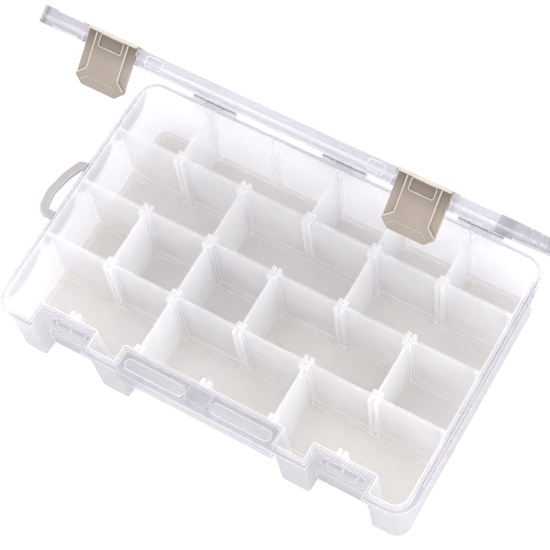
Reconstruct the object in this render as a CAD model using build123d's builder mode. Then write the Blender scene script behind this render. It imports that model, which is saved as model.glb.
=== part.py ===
"""Deep divided utility box: a drafted tray with fixed long walls, slide-in dividers,
a hinged lid that is held open, and two snap latches on the lid's front edge.

Frame: origin at the centre of the tray's footprint, on its underside.
+X runs to the right along the long side, +Y to the hinge side, +Z up. Millimetres.
"""
import os
from math import cos, radians, sin

from build123d import *

os.makedirs("parts", exist_ok=True)

# ---- Driving dimensions -------------------------------------------------------------
column_pitch = 56.0
column_count = 6
row_pitch = 50.7
middle_wall_y = 4.5
tray_height = 70.0
lid_open_angle = 64.5        # the lid stands this far from closed
latch_rest_angle = -16.5     # each latch hangs tucked in by this much from the lid's square

# ---- Tray ---------------------------------------------------------------------------
wall = 2.2                   # outer walls at the rim
draft_inset = 2.0            # the outer faces lean in by this much at the foot
cavity_inset = 1.6           # the inner faces lean in by this much at the ledge
half_length = column_count / 2 * column_pitch + wall
rear_y = 103.6
pillar_y = -113.2            # front face of the four full-height pillars
recess_y = -98.6             # front face of the wall between the pillars
corner_pillar_x = 140.0      # inner edge of each corner pillar
inner_pillar_x = (65.0, 92.5)
corner_radius = 13.0
small_radius = 1.6
foot_height = 2.0
foot_width = 6.0
floor_top = 4.0
ledge_top = 5.6
ledge_width = 5.0
center_pad_radius = 12.0

long_wall = 2.0              # fixed walls between the rows
long_wall_ys = [middle_wall_y + step * row_pitch for step in (1, 0, -1)]
rear_inner_y = rear_y - wall
recess_inner_y = recess_y + wall

rib_width = 2.6
rib_reach = 4.0              # how far a slot rib stands out of its wall
slot_gap = 2.2
column_xs = [(column - column_count / 2) * column_pitch for column in range(1, column_count)]
rib_xs = [x + side * (slot_gap + rib_width) / 2 for x in column_xs for side in (-1, 1)]

# ---- Flange and the band along the middle of the front ---------------------------------------------------
flange_x = 174.8
flange_front_y = -116.2
flange_rear_y = 107.0
flange_top = 65.5
flange_thickness = 2.0
flange_radius = 18.0
band_bottom = 50.5
band_depth = 4.2
band_rear_y = flange_front_y + band_depth
shelf_slot_y = -107.0
shelf_slot_width = 7.0
recess_strip = 1.6           # flange left round the sides of each latch recess

# ---- Latch recesses -----------------------------------------------------------------
recess_x = (inner_pillar_x[1] + corner_pillar_x) / 2
recess_half = (corner_pillar_x - inner_pillar_x[1]) / 2
catch_front_y = -102.5
catch_bottom = 50.0
catch_top = 52.6
catch_half = 17.0
step_top = 24.0              # the foot of each recess wall is thicker up to here
step_front_y = -100.0

# ---- Hinge --------------------------------------------------------------------------
hinge_y = 111.0
hinge_z = 64.5
hinge_xs = (-115.0, 0.0, 115.0)
knuckle_radius = 3.4
pin_radius = 1.5
held_bore_radius = 1.52      # where a pin is gripped
running_bore_radius = 1.58   # where a part turns on a pin
lid_knuckle_width = 14.0
tray_knuckle_width = 11.5
knuckle_gap = 0.4
hinge_pin_length = lid_knuckle_width + 2 * (knuckle_gap + tray_knuckle_width)

# ---- Lid, in its own frame: Y runs back from the hinge axis, Z out of its top --------
lid_half_length = 175.6
lid_front = -227.0
lid_rear = -4.5
lid_bottom = 1.3
lid_top = 14.3
lid_skirt = 2.0
plate_bottom = 5.9
plate_top = 7.7
lid_radius = 17.0

# ---- Latches, in their own frame: Y back, Z up when the lid is shut ------------------
latch_x = 115.0
latch_width = 37.0
latch_pivot = (-224.0, 11.3)     # in the lid's frame
barrel_radius = 2.8
latch_inner = -0.6
latch_outer = -2.8
latch_top = 3.0
latch_bottom = -36.5
pocket_half = 20.4               # each latch hangs in a pocket in the lid's front edge
pocket_wall = 1.6
pocket_depth = 11.0
lug_gap = 0.4
lug_inner = latch_width / 2 + lug_gap
lug_outer = pocket_half + pocket_wall
lug_bottom = 7.9
lug_depth = 7.0
barb_top = -28.8
barb_bottom = -32.0
barb_tip = 2.0

# ---- Dividers -----------------------------------------------------------------------
divider_thickness = 1.6
divider_top = 69.7
divider_end_gap = 0.35
divider_foot_gap = 0.2
rear_foot_y = rear_inner_y - cavity_inset
front_foot_y = recess_inner_y + cavity_inset
row_spans = [
    (long_wall_ys[0] + long_wall / 2, rear_foot_y),
    (long_wall_ys[1] + long_wall / 2, long_wall_ys[0] - long_wall / 2),
    (long_wall_ys[2] + long_wall / 2, long_wall_ys[1] - long_wall / 2),
    (front_foot_y, long_wall_ys[2] - long_wall / 2),
]
divider_columns = {1: (1, 3, 4, 5), 2: (2, 4), 3: (1, 2, 3, 5), 4: (2, 4)}


def mirrored(points):
    """The points, then their mirror images in the YZ plane, in order round the outline."""
    return points + [(-x, y) for x, y in reversed(points)]


def tray_section(height, inset):
    """The tray's outline at a height, moved inwards by inset."""
    near, far = inner_pillar_x
    right_side = [
        (half_length - inset, rear_y - inset),
        (half_length - inset, pillar_y + inset),
        (corner_pillar_x + inset, pillar_y + inset),
        (corner_pillar_x + inset, recess_y + inset),
        (far - inset, recess_y + inset),
        (far - inset, pillar_y + inset),
        (near + inset, pillar_y + inset),
        (near + inset, recess_y + inset),
    ]
    with BuildSketch(Plane.XY.offset(height)) as section:
        with BuildLine():
            Polyline(*mirrored(right_side), close=True)
        make_face()
        outer = section.vertices().filter_by(lambda v: abs(v.X) > half_length - inset - 1)
        fillet(outer, corner_radius - inset)
        sharp = section.vertices().filter_by(lambda v: abs(v.X) < corner_pillar_x + inset + 1)
        fillet(sharp, small_radius)
    return section.sketch


# ---- Tray shell ---------------------------------------------------------------------
with BuildPart() as base_tray:
    loft([tray_section(0, draft_inset), tray_section(tray_height, 0)], ruled=True)

    # Flange all round; across the front recesses it is a shelf.
    flange_depth = flange_rear_y - flange_front_y
    flange_mid_y = (flange_rear_y + flange_front_y) / 2
    with BuildSketch(Plane.XY.offset(flange_top - flange_thickness)):
        with Locations((0, flange_mid_y)):
            RectangleRounded(2 * flange_x, flange_depth, flange_radius)
    extrude(amount=flange_thickness)

    # Band that bridges the middle recess, with gussets and a raised block behind it.
    band_mid_y = (flange_front_y + band_rear_y) / 2
    with BuildSketch(Plane.XY.offset(band_bottom)):
        with Locations((0, band_mid_y)):
            Rectangle(2 * (inner_pillar_x[0] + 1.2), band_depth)
    extrude(amount=flange_top - band_bottom)
    gusset_y = (band_rear_y + recess_y) / 2
    with BuildSketch(Plane.XY.offset(band_bottom + 2)):
        with Locations((-8.0, gusset_y), (8.0, gusset_y)):
            Rectangle(2.0, recess_y - band_rear_y + 0.6)
    extrude(amount=flange_top - band_bottom - 3)
    with BuildSketch(Plane.XY.offset(flange_top - 0.5)):
        with Locations((0, gusset_y)):
            RectangleRounded(19.0, 11.0, 1.5)
    extrude(amount=2.5)

    # Latch recesses: the flange is cut back, a catch stands out of the wall, the foot is thicker.
    for side in (-1, 1):
        cut_front, cut_rear = flange_front_y - 1, recess_y - recess_strip
        with BuildSketch(Plane.XY.offset(flange_top - flange_thickness)):
            with Locations((side * recess_x, (cut_front + cut_rear) / 2)):
                Rectangle(2 * (recess_half - recess_strip), cut_rear - cut_front)
        extrude(amount=flange_thickness, mode=Mode.SUBTRACT)
        with BuildSketch(Plane.YZ.offset(side * latch_x)):
            Polygon(
                (recess_y + 1, catch_bottom), (catch_front_y, catch_bottom),
                (catch_front_y, catch_top - 0.8), (catch_front_y + 0.8, catch_top),
                (recess_y + 1, catch_top), align=None,
            )
        extrude(amount=catch_half, both=True)
        for shift in (-12.0, 0.0, 12.0):
            with BuildSketch(Plane.YZ.offset(side * latch_x + shift)):
                Polygon(
                    (recess_y + 1, catch_top - 0.5), (catch_front_y + 1, catch_top - 0.5),
                    (recess_y - 0.6, catch_top + 7), (recess_y + 1, catch_top + 7), align=None,
                )
            extrude(amount=0.8, both=True)
        with BuildSketch(Plane.YZ.offset(side * recess_x)):
            Polygon(
                (recess_y + 3, 0), (step_front_y + 0.9, 0), (step_front_y, step_top - 0.6),
                (step_front_y + 0.6, step_top), (recess_y + 2.5, step_top), align=None,
            )
        extrude(amount=recess_half + 2.2, both=True)

    # Vertical gussets under the side flanges.
    gusset_ys = [y + offset for y in long_wall_ys for offset in (-25, 0)] + [80.0]
    with BuildSketch(Plane.XY.offset(flange_top - flange_thickness - 5)):
        with Locations(*[(side * (flange_x - 3.8), y) for side in (-1, 1) for y in gusset_ys]):
            Rectangle(6.0, 1.8)
    extrude(amount=6)

    # Inside: one drafted cavity down to the ledge.
    cavity_foot = tray_section(ledge_top, wall + cavity_inset)
    loft([cavity_foot, tray_section(tray_height, wall)], ruled=True, mode=Mode.SUBTRACT)

    # Long pockets through the middle of the flange.
    with BuildSketch(Plane.XY.offset(flange_top - flange_thickness)):
        for side in (-1, 1):
            with Locations((side * 36.0, shelf_slot_y)):
                SlotOverall(49.0, shelf_slot_width)
    extrude(amount=flange_thickness, mode=Mode.SUBTRACT)

    # Recessed floor panel in each row, which leaves a ledge along the walls.
    for low_y, high_y in row_spans:
        with BuildSketch(Plane.XY.offset(floor_top)):
            with Locations((0, (low_y + high_y) / 2)):
                RectangleRounded(
                    2 * (half_length - wall - cavity_inset - ledge_width),
                    high_y - low_y - 2 * ledge_width, 3.0,
                )
        extrude(amount=ledge_top - floor_top, mode=Mode.SUBTRACT)

    # Fixed long walls, let into the drafted side walls.
    for y in long_wall_ys:
        with BuildSketch(Plane.XZ.offset(-y)):
            foot, rim = half_length - wall - cavity_inset / 2, half_length - wall / 2
            Polygon(
                (-foot, ledge_top - 0.6), (foot, ledge_top - 0.6),
                (rim, tray_height), (-rim, tray_height), align=None,
            )
        extrude(amount=long_wall / 2, both=True)

    # Slot ribs: pairs on both faces of every long wall, and on the front and rear walls.
    rib_spans = [(y - long_wall / 2 - rib_reach, y + long_wall / 2 + rib_reach) for y in long_wall_ys]
    rib_spans += [(rear_foot_y - rib_reach + 1, rear_inner_y + 0.1)]
    rib_spans += [(recess_inner_y - 0.1, front_foot_y + rib_reach - 1)]
    with BuildSketch(Plane.XY.offset(ledge_top - 0.6)):
        for near_y, far_y in rib_spans:
            with Locations(*[(x, (near_y + far_y) / 2) for x in rib_xs]):
                Rectangle(rib_width, far_y - near_y)
    extrude(amount=tray_height - ledge_top + 0.6)

    # Underside: a rim to stand on and a pad in the middle.
    underside_inset = draft_inset + foot_width
    with BuildSketch(Plane.XY):
        with Locations((0, (rear_y + recess_y) / 2)):
            RectangleRounded(
                2 * (half_length - underside_inset),
                rear_y - recess_y - 2 * underside_inset, 8.0,
            )
        Circle(center_pad_radius, mode=Mode.SUBTRACT)
    extrude(amount=foot_height, mode=Mode.SUBTRACT)

    # Hinge knuckles in pairs along the rear flange.
    knuckle_shift = (lid_knuckle_width + tray_knuckle_width) / 2 + knuckle_gap
    knuckle_xs = [x + side * knuckle_shift for x in hinge_xs for side in (-1, 1)]
    web_low, web_high = hinge_z - knuckle_radius + 0.4, hinge_z + 0.7
    for x in knuckle_xs:
        with BuildSketch(Plane.YZ.offset(x)):
            with Locations((hinge_y, hinge_z)):
                Circle(knuckle_radius)
            with Locations(((rear_y + hinge_y) / 2, (web_low + web_high) / 2)):
                Rectangle(hinge_y - rear_y + 0.8, web_high - web_low)
        extrude(amount=tray_knuckle_width / 2, both=True)
        with BuildSketch(Plane.YZ.offset(x)):
            with Locations((hinge_y, hinge_z)):
                Circle(held_bore_radius)
        extrude(amount=tray_knuckle_width, both=True, mode=Mode.SUBTRACT)

base_tray.part.label = "base_tray"
export_step(base_tray.part, "parts/base_tray.step")

# ---- Hang loop: a flat tab that stands out of the left flange ------------------------
loop_thickness = 3.2
loop_bar = 7.2
loop_root_x = loop_bar - flange_x
loop_outline = [
    (loop_root_x, 22.0), (-182.0, 19.0), (-187.5, 5.0), (-191.0, -13.5),
    (-189.0, -27.0), (-184.0, -34.0), (loop_root_x, -34.0),
]
with BuildPart() as hang_loop:
    with BuildSketch(Plane.XY.offset(flange_top - loop_thickness)) as loop_face:
        with BuildLine():
            Polyline(*loop_outline, close=True)
        make_face()
        fillet(loop_face.vertices().filter_by(lambda v: v.X < loop_root_x - 1), 5.5)
        offset(amount=-loop_bar, kind=Kind.INTERSECTION, mode=Mode.SUBTRACT)
        Rectangle(2 * flange_x, 2 * flange_x, mode=Mode.SUBTRACT)
    extrude(amount=loop_thickness)
    top_edges = hang_loop.edges().group_by(Axis.Z)[-1]
    chamfer(top_edges.filter_by(lambda e: e.center().X < -flange_x - 0.5), 0.7)

hang_loop.part.label = "hang_loop"
export_step(hang_loop.part, "parts/hang_loop.step")


# ---- Lid ----------------------------------------------------------------------------
def tilted_plane(origin, angle):
    """A plane whose X stays along the box, tipped open by angle about the hinge direction."""
    tilt = radians(angle)
    return Plane(origin=origin, x_dir=(1, 0, 0), z_dir=(0, sin(tilt), cos(tilt)))


lid_plane = tilted_plane((0, hinge_y, hinge_z), lid_open_angle)
lid_side = Plane(origin=lid_plane.origin, x_dir=lid_plane.y_dir, z_dir=lid_plane.x_dir)
lid_depth = lid_rear - lid_front
lid_middle = (lid_rear + lid_front) / 2


def lid_outline(height, inset):
    """The lid's rounded outline at a height above the hinge axis, moved inwards by inset."""
    with BuildSketch(lid_plane.offset(height)) as outline:
        with Locations((0, lid_middle)):
            RectangleRounded(2 * (lid_half_length - inset), lid_depth - 2 * inset, lid_radius - inset)
    return outline.sketch


with BuildPart() as lid:
    extrude(lid_outline(lid_bottom, 0), amount=lid_top - lid_bottom)
    extrude(lid_outline(lid_bottom, lid_skirt), amount=plate_bottom - lid_bottom, mode=Mode.SUBTRACT)
    extrude(lid_outline(plate_top, lid_skirt), amount=lid_top - plate_top, mode=Mode.SUBTRACT)

    # Stacking frame on the plate.
    with BuildSketch(lid_plane.offset(plate_top)):
        with Locations((0, lid_middle)):
            RectangleRounded(322, 194, 12)
            RectangleRounded(317, 189, 10, mode=Mode.SUBTRACT)
    extrude(amount=1.2)

    # Small pull ribs on the end skirts.
    with BuildSketch(lid_plane.offset(lid_bottom + 1)):
        rib_spots = [(side * lid_half_length, y) for side in (-1, 1) for y in (-60.0, -110.0, -160.0)]
        with Locations(*rib_spots):
            Ellipse(0.8, 2.2)
    extrude(amount=lid_top - lid_bottom - 2)

    # A pocket with pin lugs and a pin bore for each latch.
    for side in (-1, 1):
        pocket_y = lid_front + (pocket_depth + pocket_wall) / 2
        with BuildSketch(lid_plane.offset(lid_bottom)):
            with Locations((side * latch_x, pocket_y)):
                Rectangle(2 * lug_outer, pocket_depth + pocket_wall)
        extrude(amount=lid_top - lid_bottom)
        with BuildSketch(lid_plane.offset(lid_bottom - 1)):
            with Locations((side * latch_x, lid_front + pocket_depth / 2 - 0.5)):
                Rectangle(2 * pocket_half, pocket_depth + 1)
        extrude(amount=lid_top - lid_bottom + 2, mode=Mode.SUBTRACT)
        lug_shift = (lug_inner + lug_outer) / 2
        lug_spots = [(side * latch_x + shift, lid_front + lug_depth / 2) for shift in (-lug_shift, lug_shift)]
        with BuildSketch(lid_plane.offset(lug_bottom)):
            with Locations(*lug_spots):
                Rectangle(lug_outer - lug_inner, lug_depth)
        extrude(amount=lid_top - lug_bottom)
        with BuildSketch(lid_side.offset(side * latch_x)):
            with Locations(latch_pivot):
                Circle(held_bore_radius)
        extrude(amount=lug_outer - 0.9, both=True, mode=Mode.SUBTRACT)

    # Knuckles that sit between the tray's.
    for x in hinge_xs:
        with BuildSketch(lid_side.offset(x)):
            Circle(knuckle_radius)
            with Locations((lid_rear / 2 - 0.3, 2.4)):
                Rectangle(-lid_rear + 0.6, 2.0)
        extrude(amount=lid_knuckle_width / 2, both=True)
        with BuildSketch(lid_side.offset(x)):
            Circle(running_bore_radius)
        extrude(amount=lid_knuckle_width, both=True, mode=Mode.SUBTRACT)

lid.part.label = "lid"
export_step(lid.part, "parts/lid.step")


# ---- Pins ---------------------------------------------------------------------------
def make_pin(label, plane, length):
    """A plain round pin centred on a plane's origin, along the plane's normal."""
    with BuildPart() as pin:
        with BuildSketch(plane):
            Circle(pin_radius)
        extrude(amount=length / 2, both=True)
        chamfer(pin.edges().filter_by(GeomType.CIRCLE), 0.3)
    pin.part.label = label
    export_step(pin.part, f"parts/{label}.step")


for place, x in zip(("left", "middle", "right"), hinge_xs):
    make_pin(f"hinge_pin_{place}", Plane(origin=(x, hinge_y, hinge_z), z_dir=(1, 0, 0)), hinge_pin_length)

latch_pin_length = 2 * (lug_outer - 1.1)
pivot_point = lid_plane.from_local_coords((0, *latch_pivot))
for place, side in (("left", -1), ("right", 1)):
    origin = (side * latch_x, pivot_point.Y, pivot_point.Z)
    make_pin(f"latch_pin_{place}", Plane(origin=origin, z_dir=(1, 0, 0)), latch_pin_length)


# ---- Latches ------------------------------------------------------------------------
panel_rise = 1.1
panel_half = 12.4
flare_start = -24.3
flare_end = -29.6
corner_cut = 5.5
foot_bevel = 5.2
inner_rib_length = 16.0


def make_latch(label, x):
    """A snap latch: a plate with a raised panel, hung from a barrel, with a barb inside."""
    frame = tilted_plane((x, pivot_point.Y, pivot_point.Z), lid_open_angle + latch_rest_angle)
    side = Plane(origin=frame.origin, x_dir=frame.y_dir, z_dir=frame.x_dir)
    face = Plane(origin=frame.origin, x_dir=frame.x_dir, z_dir=-frame.y_dir)
    half = latch_width / 2
    with BuildPart() as latch:
        # Plate with cut lower corners, and the raised panel that flares out at its foot.
        with BuildSketch(face.offset(-latch_inner)):
            Polygon(
                (-half, latch_top), (-half, latch_bottom + corner_cut),
                (corner_cut - half, latch_bottom), (half - corner_cut, latch_bottom),
                (half, latch_bottom + corner_cut), (half, latch_top), align=None,
            )
        extrude(amount=latch_inner - latch_outer)
        with BuildSketch(face.offset(-latch_outer)):
            Polygon(
                (-panel_half, latch_top), (-panel_half, flare_start), (-half, flare_end),
                (-half, latch_bottom + corner_cut), (corner_cut - half, latch_bottom),
                (half - corner_cut, latch_bottom), (half, latch_bottom + corner_cut),
                (half, flare_end), (panel_half, flare_start), (panel_half, latch_top), align=None,
            )
        extrude(amount=panel_rise)
        # Inset rectangle near the pivot.
        with BuildSketch(face.offset(-latch_outer + panel_rise)):
            with Locations((0, -2.8)):
                RectangleRounded(17.0, 8.2, 0.9)
        extrude(amount=-0.9, mode=Mode.SUBTRACT)
        # Bevels along the foot and the top.
        with BuildSketch(side):
            front = latch_outer - panel_rise
            Polygon(
                (front - 1, latch_bottom - 1), (front - 1, latch_bottom + foot_bevel + 2),
                (front, latch_bottom + foot_bevel), (front + 1.9, latch_bottom),
                (front + 1.9, latch_bottom - 1), align=None,
            )
            Polygon(
                (front - 1, latch_top + 1), (front - 1, latch_top - 2.2), (front, latch_top - 1.2),
                (front + 1.2, latch_top), (front + 1.2, latch_top + 1), align=None,
            )
        extrude(amount=half + 1, both=True, mode=Mode.SUBTRACT)
        # Barrel, and the barb that snaps under the catch.
        with BuildSketch(side):
            Circle(barrel_radius)
        extrude(amount=half, both=True)
        with BuildSketch(side):
            Polygon(
                (latch_inner - 0.5, barb_top), (barb_tip, barb_top), (barb_tip, barb_top - 0.8),
                (latch_inner, barb_bottom), (latch_inner - 0.5, barb_bottom), align=None,
            )
        extrude(amount=half - 0.5, both=True)
        # Stiffening ribs down the inside.
        with BuildSketch(face.offset(-latch_inner + 0.2)):
            with Locations((-7.5, -13.0), (7.5, -13.0)):
                Rectangle(1.3, inner_rib_length)
        extrude(amount=-1.4)
        with BuildSketch(side):
            Circle(running_bore_radius)
        extrude(amount=half + 1, both=True, mode=Mode.SUBTRACT)
    latch.part.label = label
    export_step(latch.part, f"parts/{label}.step")


make_latch("latch_left", -latch_x)
make_latch("latch_right", latch_x)


# ---- Dividers -----------------------------------------------------------------------
def make_divider(row, column):
    """A flat divider that slides down between two pairs of ribs and stands on the ledge."""
    low_y, high_y = row_spans[row - 1]
    near, far = low_y + divider_end_gap, high_y - divider_end_gap
    foot = ledge_top + divider_foot_gap
    keel = floor_top + divider_foot_gap
    keel_inset = ledge_width + divider_end_gap
    with BuildPart() as divider:
        with BuildSketch(Plane.YZ.offset(column_xs[column - 1])):
            Polygon(
                (near, foot), (near + keel_inset, foot), (near + keel_inset, keel),
                (far - keel_inset, keel), (far - keel_inset, foot), (far, foot),
                (far, divider_top - 1.2), (far - 1.2, divider_top),
                (near + 1.2, divider_top), (near, divider_top - 1.2), align=None,
            )
        extrude(amount=divider_thickness / 2, both=True)
        fillet(divider.edges().group_by(Axis.Z)[-1].filter_by(Axis.Y), 0.5)
    divider.part.label = f"divider_row{row}_column{column}"
    export_step(divider.part, f"parts/{divider.part.label}.step")


for row, columns in divider_columns.items():
    for column in columns:
        make_divider(row, column)
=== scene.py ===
"""Looks of the divided utility box: clear moulded plastic, taupe latches, pale studio."""
import math

import bpy
from mathutils import Matrix, Vector


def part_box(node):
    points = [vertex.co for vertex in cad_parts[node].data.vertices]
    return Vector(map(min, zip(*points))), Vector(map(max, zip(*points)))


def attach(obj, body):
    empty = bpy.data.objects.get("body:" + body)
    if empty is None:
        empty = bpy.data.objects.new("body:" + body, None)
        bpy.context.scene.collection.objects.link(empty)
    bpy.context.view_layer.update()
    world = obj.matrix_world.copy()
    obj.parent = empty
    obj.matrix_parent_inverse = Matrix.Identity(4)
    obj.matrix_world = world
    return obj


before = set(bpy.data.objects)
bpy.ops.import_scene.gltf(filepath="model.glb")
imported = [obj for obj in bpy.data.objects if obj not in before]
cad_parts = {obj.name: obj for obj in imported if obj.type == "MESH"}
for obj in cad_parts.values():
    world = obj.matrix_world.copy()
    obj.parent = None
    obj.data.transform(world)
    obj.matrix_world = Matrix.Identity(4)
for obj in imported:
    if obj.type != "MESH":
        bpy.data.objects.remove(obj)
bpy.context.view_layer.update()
scene = bpy.context.scene
scene.view_settings.view_transform = "Standard"

MM = 0.001

# The middle of the tray's drafted walls at the foot, and how fast they lean out upwards.
WALL_X, WALL_FRONT_Y, WALL_REAR_Y = 167.3 * MM, -95.7 * MM, 100.7 * MM
WALL_LEAN = 1.8 / 70.0
# The front pillars are hollow: where their walls stand, and how far forward they reach.
PILLAR_MIDDLE_X, PILLAR_HALF_X, CORNER_PILLAR_X = 78.75 * MM, 10.85 * MM, 142.9 * MM
PILLAR_REACH = 14.6 * MM
CORNER_RADIUS = 11.9 * MM
FLOOR_Z, WALL_SHADE_Z = 5.7 * MM, 34.0 * MM
COLUMN_PITCH = 56.0 * MM
RIB_BAND_HALF = 3.7 * MM
LID_END_X = 166.0 * MM

# How far the lid stands open, and the angle that the latches hang at.
LID_ANGLE = math.radians(64.5)
LATCH_ANGLE = math.radians(48.0)


def middle_of(node):
    low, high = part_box(node)
    return (low + high) / 2


def tipped(origin, angle):
    """A frame whose X stays along the box, turned open by angle about the hinge direction."""
    c, s = math.cos(angle), math.sin(angle)
    turn = Matrix(((1, 0, 0), (0, c, s), (0, -s, c))).to_4x4()
    return Matrix.Translation(origin) @ turn


LID_FRAME = tipped(middle_of("hinge_pin_middle"), LID_ANGLE)
LATCH_FRAMES = {
    side: tipped(middle_of(f"latch_pin_{side}"), LATCH_ANGLE) for side in ("left", "right")
}


# ---- Shader building blocks -----------------------------------------------------------
class Graph:
    """A material's node tree, with short calls for the nodes that repeat."""

    def __init__(self, name):
        self.material = bpy.data.materials.new(name)
        self.material.use_nodes = True
        self.tree = self.material.node_tree
        self.tree.nodes.clear()
        self.coords = self.node("ShaderNodeTexCoord").outputs["Object"]

    def node(self, kind, inputs=None, **settings):
        made = self.tree.nodes.new(kind)
        for key, value in settings.items():
            setattr(made, key, value)
        for key, value in (inputs or {}).items():
            if isinstance(value, bpy.types.NodeSocket):
                self.tree.links.new(value, made.inputs[key])
            else:
                made.inputs[key].default_value = value
        return made

    def noise(self, scale, detail=2.0, stretch=None):
        place = self.coords
        if stretch:
            place = self.node(
                "ShaderNodeMapping", {"Vector": self.coords, "Scale": stretch}
            ).outputs[0]
        made = self.node("ShaderNodeTexNoise", {"Vector": place, "Scale": scale, "Detail": detail})
        return made.outputs["Fac"]

    def remap(self, value, low, high, to_low=0.0, to_high=1.0):
        made = self.node("ShaderNodeMapRange", {
            "Value": value, "From Min": low, "From Max": high,
            "To Min": to_low, "To Max": to_high,
        })
        return made.outputs[0]

    def math(self, operation, first, second):
        return self.node("ShaderNodeMath", {0: first, 1: second}, operation=operation).outputs[0]

    def blend(self, share, first, second):
        made = self.node("ShaderNodeMix", data_type="RGBA")
        # A colour mix has its share at input 0 and its two colours at inputs 6 and 7.
        for index, value in ((0, share), (6, first), (7, second)):
            if isinstance(value, bpy.types.NodeSocket):
                self.tree.links.new(value, made.inputs[index])
            else:
                made.inputs[index].default_value = value
        return made.outputs[2]

    def edges(self, radius, low, high):
        """1 on the mesh's corners, 0 on its flats, from how far a rounded normal turns."""
        rounded = self.node("ShaderNodeBevel", {"Radius": radius}, samples=4).outputs[0]
        flat = self.node("ShaderNodeNewGeometry").outputs["Normal"]
        made = self.node("ShaderNodeVectorMath", {0: rounded, 1: flat}, operation="DOT_PRODUCT")
        return self.remap(made.outputs["Value"], high, low)

    def bump(self, height, strength, distance):
        made = self.node("ShaderNodeBump", {
            "Height": height, "Strength": strength, "Distance": distance,
        })
        return made.outputs[0]

    def finish(self, shader):
        self.node("ShaderNodeOutputMaterial", {"Surface": shader})
        return self.material


def rgb(red, green, blue):
    """A linear colour from screen values of 0 to 255."""
    def linear(value):
        value /= 255
        return value / 12.92 if value <= 0.04045 else ((value + 0.055) / 1.055) ** 2.4
    return (linear(red), linear(green), linear(blue), 1.0)


def past(graph, value, wall):
    """How far a value runs past the start of the round corner at a wall, and 0 before it."""
    return graph.math("MAXIMUM", graph.math("SUBTRACT", value, wall - CORNER_RADIUS), 0.0)


def inside_cavity(graph, x, y, height):
    """1 within the tray's walls, 0 outside them, following their draft and the hollow pillars."""
    lean = graph.math("MULTIPLY", height, WALL_LEAN)
    across = graph.math("ABSOLUTE", x, 0.0)
    off_pillar = graph.math("ABSOLUTE", graph.math("SUBTRACT", across, PILLAR_MIDDLE_X), 0.0)
    inner = graph.math("LESS_THAN", graph.math("SUBTRACT", off_pillar, lean), PILLAR_HALF_X)
    corner = graph.math("GREATER_THAN", graph.math("ADD", across, lean), CORNER_PILLAR_X)
    pillar = graph.math("ADD", inner, corner)
    ahead = graph.math("ADD", graph.math("ADD", y, lean), graph.math("MULTIPLY", pillar, PILLAR_REACH))
    along = graph.math("LESS_THAN", graph.math("SUBTRACT", across, lean), WALL_X)
    front = graph.math("GREATER_THAN", ahead, WALL_FRONT_Y)
    rear = graph.math("LESS_THAN", graph.math("SUBTRACT", y, lean), WALL_REAR_Y)
    # The tray's own corners are round, so a point past both straight walls is tested by distance.
    past_end = past(graph, graph.math("SUBTRACT", across, lean), WALL_X)
    past_rear = past(graph, graph.math("SUBTRACT", y, lean), WALL_REAR_Y)
    forward = graph.math("MULTIPLY", graph.math("ADD", y, lean), -1.0)
    past_front = past(graph, forward, PILLAR_REACH - WALL_FRONT_Y)
    beyond = graph.math("MAXIMUM", past_rear, past_front)
    squares = graph.math("ADD", graph.math("POWER", past_end, 2.0), graph.math("POWER", beyond, 2.0))
    rounded = graph.math("LESS_THAN", squares, CORNER_RADIUS ** 2)
    walls = graph.math("MULTIPLY", along, graph.math("MULTIPLY", front, rear))
    return graph.math("MULTIPLY", walls, rounded)


def scratches(graph, scale, stretch):
    """Thin hairlines: a stretched noise, kept only near its middle value."""
    field = graph.noise(scale, 1.0, stretch)
    distance = graph.math("ABSOLUTE", graph.math("SUBTRACT", field, 0.5), 0.0)
    return graph.remap(distance, 0.006, 0.0)


def rib_bands(graph, x, height):
    """1 on the pairs of slot ribs that stand at every column, above the floor's ledge."""
    off_column = graph.math("PINGPONG", x, COLUMN_PITCH / 2)
    on_column = graph.remap(off_column, RIB_BAND_HALF + 0.3 * MM, RIB_BAND_HALF - 0.3 * MM)
    return graph.math("MULTIPLY", on_column, graph.math("GREATER_THAN", height, FLOOR_Z))


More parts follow.
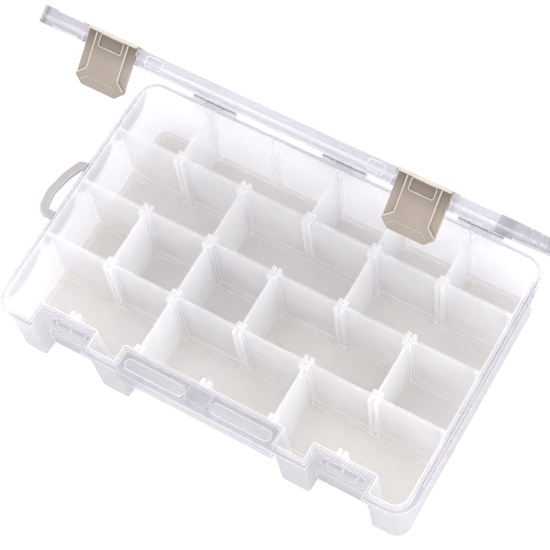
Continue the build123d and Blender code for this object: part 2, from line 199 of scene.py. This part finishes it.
def milky_plastic(
    name, pale, deep, opacity, glow, roughness, floor_tone_and_shade=None, outside=None, end_skirt_shade=None
):
    """Moulded polypropylene: see-through in its flats, with a painted highlight at its edges, and
    painted light and shade by place in the tray and on the lid's ends when tints are given.
    """
    g = Graph(name)
    colour = g.blend(g.remap(g.noise(9.0, 3.0), 0.35, 0.7), pale, deep)
    x, y, height = g.node("ShaderNodeSeparateXYZ", {"Vector": g.coords}).outputs
    rib_highlight = end = None
    if floor_tone_and_shade:
        inside = inside_cavity(g, x, y, height)
        # Painted light and shade: the cavity keeps the pale colours and the outside is painted darker,
        # evening out the shade inside the tray against the brighter light outside.
        colour = g.blend(inside, outside, colour)
        rib_highlight = g.math("MULTIPLY", inside, rib_bands(g, x, height))
        # Painted shade: the lower walls darken towards the floor, a painted reflection of the shaded
        # floor.
        low = g.math("MULTIPLY", inside, g.remap(height, WALL_SHADE_Z, FLOOR_Z))
        # The floor's tint is partly its own matte tone and partly painted shade.
        floor = g.math("MULTIPLY", inside, g.math("LESS_THAN", height, FLOOR_Z))
        colour = g.blend(low, colour, floor_tone_and_shade[0])
        colour = g.blend(floor, colour, floor_tone_and_shade[1])
        # Painted highlight on the slot ribs, which are also made a little less see-through.
        colour = g.blend(rib_highlight, colour, rgb(254, 253, 251))
    if end_skirt_shade:
        # Painted shade on the lid's end skirts, which are also made less see-through.
        end = g.math("GREATER_THAN", g.math("ABSOLUTE", x, 0.0), LID_END_X)
        colour = g.blend(end, colour, end_skirt_shade)
    # Painted highlight: the mesh's corners are whitened and made less see-through.
    edge = g.edges(1.2 * MM, 0.80, 0.988)
    colour = g.blend(edge, colour, rgb(253, 252, 255))
    flow = g.noise(4.0, 4.0, (3.0, 22.0, 9.0))
    hairs = scratches(g, 5.0, (1.0, 14.0, 5.0))
    worn = g.math("ADD", g.remap(flow, 0.3, 0.75, roughness - 0.08, roughness + 0.10),
                  g.math("MULTIPLY", hairs, 0.15))
    grain = g.noise(700.0, 2.0)
    surface = g.math("ADD", g.math("MULTIPLY", grain, 0.25), g.math("MULTIPLY", flow, 0.75))
    normal = g.bump(surface, 0.35, 0.0006)
    body = g.node("ShaderNodeBsdfPrincipled", {
        "Base Color": colour, "Roughness": worn, "IOR": 1.49, "Normal": normal,
    })
    through = g.node("ShaderNodeBsdfTranslucent", {"Color": colour, "Normal": normal})
    solid = g.node("ShaderNodeMixShader", {0: glow, 1: body.outputs[0], 2: through.outputs[0]})
    clear = g.node("ShaderNodeBsdfTransparent", {"Color": rgb(250, 250, 252)})
    cloud = g.remap(g.noise(16.0, 3.0), 0.3, 0.7, opacity - 0.05, opacity + 0.05)
    facing = g.node("ShaderNodeLayerWeight", {"Blend": 0.25}).outputs["Facing"]
    share = g.math("ADD", cloud, g.math("MULTIPLY", facing, 0.18))
    share = g.math("ADD", share, g.math("MULTIPLY", edge, 0.35))
    if rib_highlight:
        share = g.math("ADD", share, g.math("MULTIPLY", rib_highlight, 0.10))
    if end:
        share = g.math("ADD", share, g.math("MULTIPLY", end, 0.15))
    share = g.node("ShaderNodeClamp", {"Value": share}).outputs[0]
    mixed = g.node("ShaderNodeMixShader", {0: share, 1: clear.outputs[0], 2: solid.outputs[0]})
    return g.finish(mixed.outputs[0])


def latch_plastic(name, pale, deep, shadow_under_lip=None):
    """Opaque taupe plastic with a soft satin skin and a painted highlight on its corners, broken up by
    noise.
    """
    g = Graph(name)
    cloud = g.remap(g.noise(40.0, 4.0), 0.3, 0.7)
    colour = g.blend(cloud, pale, deep)
    if shadow_under_lip:
        # Painted shadow under the lip: the plastic is darker near the barrel, measured down from the
        # pivot.
        down = Vector((0.0, -math.sin(LATCH_ANGLE), -math.cos(LATCH_ANGLE)))
        along = g.node("ShaderNodeVectorMath", {0: g.coords, 1: down}, operation="DOT_PRODUCT")
        start = middle_of("latch_pin_left").dot(down)
        near = g.remap(along.outputs["Value"], start + 15.0 * MM, start + 1.0 * MM)
        colour = g.blend(near, colour, shadow_under_lip)
    # Painted highlight on the corners, broken up by noise.
    edge = g.edges(0.0006, 0.75, 0.985)
    corner_highlight = g.math("MULTIPLY", edge, g.remap(g.noise(160.0, 3.0), 0.3, 0.6, 0.55, 1.0))
    colour = g.blend(corner_highlight, colour, rgb(236, 226, 216))
    hairs = scratches(g, 9.0, (1.0, 6.0, 18.0))
    worn = g.math("ADD", g.remap(g.noise(60.0, 4.0), 0.3, 0.7, 0.30, 0.42),
                  g.math("MULTIPLY", hairs, 0.2))
    normal = g.bump(g.noise(1500.0, 2.0), 0.25, 0.0003)
    body = g.node("ShaderNodeBsdfPrincipled", {
        "Base Color": colour, "Roughness": worn, "IOR": 1.5, "Normal": normal,
    })
    return g.finish(body.outputs[0])


def pin_plastic():
    """Pale satin pins, drawn lengthwise, with faint turning marks."""
    g = Graph("pin_plastic")
    rings = g.noise(30.0, 2.0, (60.0, 1.0, 1.0))
    colour = g.blend(g.remap(rings, 0.3, 0.7), rgb(222, 218, 216), rgb(198, 193, 190))
    body = g.node("ShaderNodeBsdfPrincipled", {
        "Base Color": colour, "Roughness": g.remap(rings, 0.3, 0.7, 0.28, 0.45),
        "Normal": g.bump(rings, 0.3, 0.0002),
    })
    return g.finish(body.outputs[0])


# The tray's tints paint light and shade: the outside darker than the cavity, and painted shade on the
# lower walls and the floor, the floor partly by its own tone.
tray_plastic = milky_plastic(
    "clear_tray_plastic", rgb(254, 253, 253), rgb(251, 250, 250),
    opacity=0.35, glow=0.5, roughness=0.34,
    floor_tone_and_shade=(rgb(253, 251, 248), rgb(246, 242, 235)), outside=rgb(201, 200, 204),
)
# The lid's end tint is painted shade on its end skirts.
lid_plastic = milky_plastic(
    "clear_lid_plastic", rgb(206, 204, 208), rgb(192, 190, 195),
    opacity=0.38, glow=0.4, roughness=0.20,
    end_skirt_shade=rgb(152, 152, 162),
)
divider_plastic = milky_plastic(
    "clear_divider_plastic", rgb(255, 255, 255), rgb(252, 252, 252),
    opacity=0.42, glow=0.55, roughness=0.36,
)
loop_plastic = milky_plastic(
    "milky_loop_plastic", rgb(195, 191, 193), rgb(182, 178, 180),
    opacity=0.82, glow=0.35, roughness=0.38,
)
# The latch material carries a painted shadow under its lip, near the barrel.
latch_material = latch_plastic(
    "taupe_latch_plastic", rgb(148, 136, 127), rgb(137, 125, 116), shadow_under_lip=rgb(106, 94, 85)
)
# A lighter copy of the latch plastic: painted highlight on the raised ridges, the inset rim and the
# lip.
latch_highlight_material = latch_plastic("latch_highlight_plastic", rgb(188, 178, 169), rgb(175, 165, 155))
pin_material = pin_plastic()


# ---- The CAD nodes keep their shapes and get their materials ----------------------------
def material_for(name):
    if name.startswith("divider"):
        return divider_plastic
    if name.startswith("latch_pin") or name.startswith("hinge_pin"):
        return pin_material
    if name.startswith("latch"):
        return latch_material
    return {"base_tray": tray_plastic, "lid": lid_plastic, "hang_loop": loop_plastic}[name]


for node_name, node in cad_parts.items():
    node.data.materials.clear()
    node.data.materials.append(material_for(node_name))


# ---- Moulded details -------------------------------------------------------------------
def mesh_piece(name, points, faces, place, body, material):
    """A smooth-shaded mesh, made in place's own axes and set to move with a body."""
    mesh = bpy.data.meshes.new(name)
    mesh.from_pydata([place @ Vector(point) for point in points], [], faces)
    mesh.validate()
    mesh.materials.append(material)
    for polygon in mesh.polygons:
        polygon.use_smooth = True
    mesh.set_sharp_from_angle(angle=math.radians(40))
    piece = bpy.data.objects.new(name, mesh)
    scene.collection.objects.link(piece)
    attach(piece, body)


def rounded_path(corners, radius, steps=5, closed=True):
    """The corners' outline with each one swept round by an arc of the given radius."""
    count = len(corners)
    path = []
    for index, corner in enumerate(corners):
        if not closed and index in (0, count - 1):
            path.append(Vector(corner))
            continue
        here = Vector(corner)
        back = (Vector(corners[index - 1]) - here).normalized()
        ahead = (Vector(corners[(index + 1) % count]) - here).normalized()
        half_turn = math.acos(max(-1.0, min(1.0, back.dot(ahead)))) / 2
        reach = radius / math.tan(half_turn)
        centre = here + (back + ahead).normalized() * radius / math.sin(half_turn)
        start, end = here + back * reach - centre, here + ahead * reach - centre
        sweep = start.angle_signed(end)
        for step in range(steps + 1):
            turn = Matrix.Rotation(-sweep * step / steps, 2)
            path.append(centre + turn @ start)
    return path


def bead(name, path, lift, width, height, place, body, material, closed=False):
    """A half-round ridge along a path in place's XZ plane or XY plane.

    lift turns a path point and a height above the surface into a point in place's axes."""
    arc_steps = 6
    turns = [math.pi * k / arc_steps for k in range(arc_steps + 1)]
    section = [(width / 2 * math.cos(turn), height * math.sin(turn)) for turn in turns]
    sunk = 0.15
    section = [(width / 2, -sunk)] + section + [(-width / 2, -sunk)]
    count, ring = len(path), len(section)
    points, faces = [], []
    for index, here in enumerate(path):
        if closed:
            before, after = path[index - 1], path[(index + 1) % count]
        else:
            before, after = path[max(index - 1, 0)], path[min(index + 1, count - 1)]
        along = (after - before).normalized()
        side = Vector((-along.y, along.x))
        first, second = here - before, after - here
        if first.length and second.length:
            bend = first.angle_signed(second)
            side /= max(math.cos(bend / 2), 0.5)
        points += [lift(here + side * across, up) for across, up in section]
    for index in range(count if closed else count - 1):
        a, b = index * ring, (index + 1) % count * ring
        for k in range(ring):
            n = (k + 1) % ring
            faces.append((a + k, a + n, b + n, b + k))
    if not closed:
        faces.append(tuple(reversed(range(ring))))
        faces.append(tuple(range((count - 1) * ring, count * ring)))
    points = [tuple(value * MM for value in point) for point in points]
    mesh_piece(name, points, faces, place, body, material)


def box_corners(half_x, half_y, x, y):
    """A rectangle's corners, anticlockwise, from its half sizes and its middle."""
    return [(x - half_x, y - half_y), (x + half_x, y - half_y),
            (x + half_x, y + half_y), (x - half_x, y + half_y)]


def latch_details(side):
    """A lip over the barrel, ridges beside the panel, a rim round the inset, a line at the foot."""
    face_y = -3.9
    panel_x, top_z, flare_z, wing_x, wing_z = 12.0, 1.4, -24.1, 17.6, -29.1
    inset_half_x, inset_half_z, inset_z = 8.7, 4.3, -2.8
    foot_x, foot_z, corner_x, corner_z = 9.8, -29.4, 13.6, -32.6
    bend_radius, foot_radius = 1.2, 1.6
    ridge_width, ridge_height = 0.9, 0.45
    rim_width, rim_height = 0.55, 0.3
    foot_width, foot_height = 0.5, 0.25
    body, place = f"{side}_latch", LATCH_FRAMES[side]

    def on_face(point, up):
        return (point.x, face_y - up, point.y)

    for hand, sign in (("left", -1), ("right", 1)):
        corners = [(sign * panel_x, top_z), (sign * panel_x, flare_z), (sign * wing_x, wing_z)]
        path = rounded_path(corners, bend_radius, closed=False)
        bead(f"latch_{side}_ridge_{hand}", path, on_face, ridge_width, ridge_height,
             place, body, latch_highlight_material)
    rim = rounded_path(box_corners(inset_half_x, inset_half_z, 0.0, inset_z), bend_radius)
    bead(f"latch_{side}_inset_rim", rim, on_face, rim_width, rim_height,
         place, body, latch_highlight_material, closed=True)
    step = [(-corner_x, corner_z), (-foot_x, foot_z), (foot_x, foot_z), (corner_x, corner_z)]
    foot = rounded_path(step, foot_radius, closed=False)
    bead(f"latch_{side}_foot_ridge", foot, on_face, foot_width, foot_height,
         place, body, latch_material)
    latch_lip(side, place, body, face_y)


def latch_lip(side, place, body, face_y):
    """The rolled upper edge of the latch, which stands out over its face and casts a shadow."""
    profile = [(face_y + 0.3, 1.9), (face_y - 0.9, 2.0), (face_y - 1.3, 2.3), (face_y - 1.2, 2.7),
               (face_y - 0.7, 3.0), (face_y + 0.8, 3.2), (face_y + 3.4, 3.4), (face_y + 4.6, 3.0),
               (face_y + 4.6, 2.4), (face_y + 1.2, 2.2)]
    middle = (sum(y for y, _ in profile) / len(profile), sum(z for _, z in profile) / len(profile))
    # Places along the lip, and how full its section is there, so that its ends come out round.
    stations = [(-18.35, 0.72), (-18.05, 0.93), (-17.5, 1.0), (17.5, 1.0), (18.05, 0.93), (18.35, 0.72)]
    points, faces = [], []
    ring = len(profile)
    for x, share in stations:
        for y, z in profile:
            points.append(tuple(value * MM for value in (
                x, middle[0] + (y - middle[0]) * share, middle[1] + (z - middle[1]) * share)))
    for station in range(len(stations) - 1):
        for k in range(ring):
            n = (k + 1) % ring
            a, b = station * ring, (station + 1) * ring
            faces.append((a + k, b + k, b + n, a + n))
    faces.append(tuple(range(ring)))
    faces.append(tuple(reversed(range((len(stations) - 1) * ring, len(stations) * ring))))
    mesh_piece(f"latch_{side}_lip", points, faces, place, body, latch_highlight_material)


def lid_details():
    """Ridges along the front and end skirts, and a framed pad beside each latch."""
    front_y, end_x = -227.0, 175.6
    spans = {"left": (-158.0, -139.0), "middle": (-91.0, 91.0), "right": (139.0, 158.0)}
    # Each level's height on the skirt, then the ridge's width and height.
    levels = (("lower", 2.5, 1.7, 0.8), ("upper", 13.3, 1.0, 0.5))
    end_front_y, end_rear_y, end_z, end_width, end_height = -209.0, -24.0, 2.5, 1.7, 0.8
    pad_half_x, pad_half_z, pad_x, pad_z, pad_radius = 6.0, 3.4, 82.0, 7.9, 1.2
    pad_width, pad_height = 1.1, 0.5

    def on_front(point, up):
        return (point.x, front_y - up, point.y)

    def on_end(sign):
        return lambda point, up: (sign * (end_x + up), point.x, point.y)

    for name, (start, end) in spans.items():
        for level, z, width, height in levels:
            path = [Vector((start, z)), Vector((end, z))]
            bead(f"lid_front_{level}_ridge_{name}", path, on_front, width, height,
                 LID_FRAME, "lid_unit", lid_ridge_material)
    for hand, sign in (("left", -1), ("right", 1)):
        path = [Vector((end_front_y, end_z)), Vector((end_rear_y, end_z))]
        bead(f"lid_end_ridge_{hand}", path, on_end(sign), end_width, end_height,
             LID_FRAME, "lid_unit", lid_ridge_material)
        pad = box_corners(pad_half_x, pad_half_z, sign * pad_x, pad_z)
        bead(f"lid_pad_frame_{hand}", rounded_path(pad, pad_radius), on_front, pad_width, pad_height,
             LID_FRAME, "lid_unit", lid_ridge_material, closed=True)


def wall_swell(name, sign, near_y, far_y):
    """A shallow swelling of an end wall under the flange, with an arched lower edge."""
    across_steps, down_steps = 20, 6
    top_z, drop, stand_out, sunk = 62.8, 13.0, 1.5, 0.4
    least_drop, clear_of_wall = 0.6, 0.12
    outline_power, section_power = 0.7, 0.6
    wall_foot_x, wall_lean = 168.2, 2.0 / 70.0
    points, faces = [], []
    for outer in (True, False):
        for i in range(across_steps + 1):
            u = i / across_steps
            bow = max(1 - (2 * u - 1) ** 2, 0.0) ** outline_power
            for j in range(down_steps + 1):
                v = j / down_steps
                z = top_z - (least_drop + drop * bow) * v
                wall_x = wall_foot_x + wall_lean * z
                x = wall_x - sunk
                if outer:
                    rise = stand_out * bow * math.cos(math.pi / 2 * v) ** section_power
                    x = wall_x + clear_of_wall + rise
                y = near_y + (far_y - near_y) * u
                points.append((sign * x * MM, y * MM, z * MM))
    row, side = down_steps + 1, (across_steps + 1) * (down_steps + 1)
    for i in range(across_steps):
        for j in range(down_steps):
            a = i * row + j
            faces.append((a, a + 1, a + row + 1, a + row))
            faces.append((side + a, side + a + row, side + a + row + 1, side + a + 1))
    rim = [i * row for i in range(across_steps + 1)]
    rim += [across_steps * row + j for j in range(1, row)]
    rim += [i * row + down_steps for i in range(across_steps - 1, -1, -1)]
    rim += [j for j in range(down_steps - 1, 0, -1)]
    for k, a in enumerate(rim):
        b = rim[(k + 1) % len(rim)]
        faces.append((a, b, side + b, side + a))
    if sign < 0:
        faces = [tuple(reversed(face)) for face in faces]
    faces = [tuple(reversed(face)) for face in faces]
    mesh_piece(name, points, faces, Matrix.Identity(4), "tray", swell_material)


def tray_details():
    """Locating beads on the end flanges, swellings under them, and rims round the long slots."""
    flange_z = 65.5
    bead_x, bead_front_y, bead_rear_y, bead_width, bead_height = 172.0, -88.0, 84.0, 1.5, 0.7
    first_swell_y, swell_pitch, swell_length = -106.0, 51.0, 49.0
    slot_half_x, slot_half_y, slot_x, slot_y, slot_radius = 25.3, 4.3, 36.0, -107.0, 4.25
    rim_width, rim_height = 1.0, 0.5
    still = Matrix.Identity(4)

    def on_flange(point, up):
        return (point.x, point.y, flange_z + up)

    for hand, sign in (("left", -1), ("right", 1)):
        path = [Vector((sign * bead_x, bead_front_y)), Vector((sign * bead_x, bead_rear_y))]
        bead(f"flange_bead_{hand}", path, on_flange, bead_width, bead_height,
             still, "tray", ridge_material)
        for number in range(4):
            near_y = first_swell_y + number * swell_pitch
            wall_swell(f"end_wall_swell_{hand}_{number + 1}", sign, near_y, near_y + swell_length)
        slot = box_corners(slot_half_x, slot_half_y, sign * slot_x, slot_y)
        slot_path = rounded_path(slot, slot_radius, steps=9)
        bead(f"front_slot_rim_{hand}", slot_path, on_flange, rim_width, rim_height,
             still, "tray", ridge_material, closed=True)


ridge_material = milky_plastic(
    "tray_ridge_plastic", rgb(228, 227, 229), rgb(220, 219, 222),
    opacity=0.48, glow=0.4, roughness=0.28,
)
swell_material = milky_plastic(
    "wall_swell_plastic", rgb(222, 221, 225), rgb(213, 212, 216),
    opacity=0.36, glow=0.4, roughness=0.26,
)
lid_ridge_material = milky_plastic(
    "lid_ridge_plastic", rgb(228, 227, 230), rgb(218, 217, 220),
    opacity=0.45, glow=0.4, roughness=0.2,
)
for latch_side in LATCH_FRAMES:
    latch_details(latch_side)
lid_details()
tray_details()


# ---- Studio -----------------------------------------------------------------------------
LIGHT_AIM = Vector((0, 0, 0.03))


def area_light(name, place, size, power):
    data = bpy.data.lights.new(name, "AREA")
    data.shape = "DISK"
    data.size = size
    data.energy = power
    lamp = bpy.data.objects.new(name, data)
    scene.collection.objects.link(lamp)
    lamp.location = place
    lamp.rotation_euler = (LIGHT_AIM - Vector(place)).to_track_quat("-Z", "Y").to_euler()


def floor_material():
    g = Graph("paper_floor")
    fibre = g.noise(300.0, 3.0)
    colour = g.blend(g.remap(fibre, 0.3, 0.7), rgb(250, 250, 250), rgb(246, 246, 247))
    body = g.node("ShaderNodeBsdfPrincipled", {
        "Base Color": colour, "Roughness": g.remap(fibre, 0.3, 0.7, 0.75, 0.9),
        "Normal": g.bump(fibre, 0.1, 0.0004),
    })
    return g.finish(body.outputs[0])


def studio():
    world = bpy.data.worlds.new("soft_white_room")
    world.use_nodes = True
    backdrop = world.node_tree.nodes["Background"]
    backdrop.inputs["Color"].default_value = (1.0, 1.0, 1.0, 1.0)
    backdrop.inputs["Strength"].default_value = 1.54
    scene.world = world

    half = 6.0
    just_under_feet = -0.0005
    corners = [(x, y, 0) for x, y in box_corners(half, half, 0.0, 0.0)]
    mesh = bpy.data.meshes.new("floor")
    mesh.from_pydata(corners, [], [(0, 1, 2, 3)])
    mesh.materials.append(floor_material())
    ground = bpy.data.objects.new("floor", mesh)
    ground.location.z = just_under_feet
    scene.collection.objects.link(ground)

    # Each light's place and disk size are in metres, and its power is in watts.
    area_light("key", (1.1, -0.1, 1.0), 0.9, 4.0)
    area_light("fill", (-0.3, -1.3, 0.9), 1.2, 1.5)
    area_light("top", (-0.4, 0.5, 1.6), 1.2, 2.0)


def photograph_camera():
    """Stands over the front right corner, looking down, tipped a little clockwise."""
    azimuth, elevation, tip = (math.radians(angle) for angle in (39.06, 63.88, -9.98))
    aim = Vector((-8.1, 14.5, 40.0)) * MM
    distance = 1.356
    offset = Vector((
        math.sin(azimuth) * math.cos(elevation),
        -math.cos(azimuth) * math.cos(elevation),
        math.sin(elevation),
    ))
    data = bpy.data.cameras.new("camera")
    data.sensor_width = 36.0
    data.lens = 118.1
    data.clip_end = 50.0
    camera = bpy.data.objects.new("camera", data)
    scene.collection.objects.link(camera)
    turn = (-offset).to_track_quat("-Z", "Y").to_matrix().to_4x4()
    place = Matrix.Translation(aim + distance * offset)
    camera.matrix_world = place @ turn @ Matrix.Rotation(tip, 4, "Z")
    scene.camera = camera


studio()
photograph_camera()
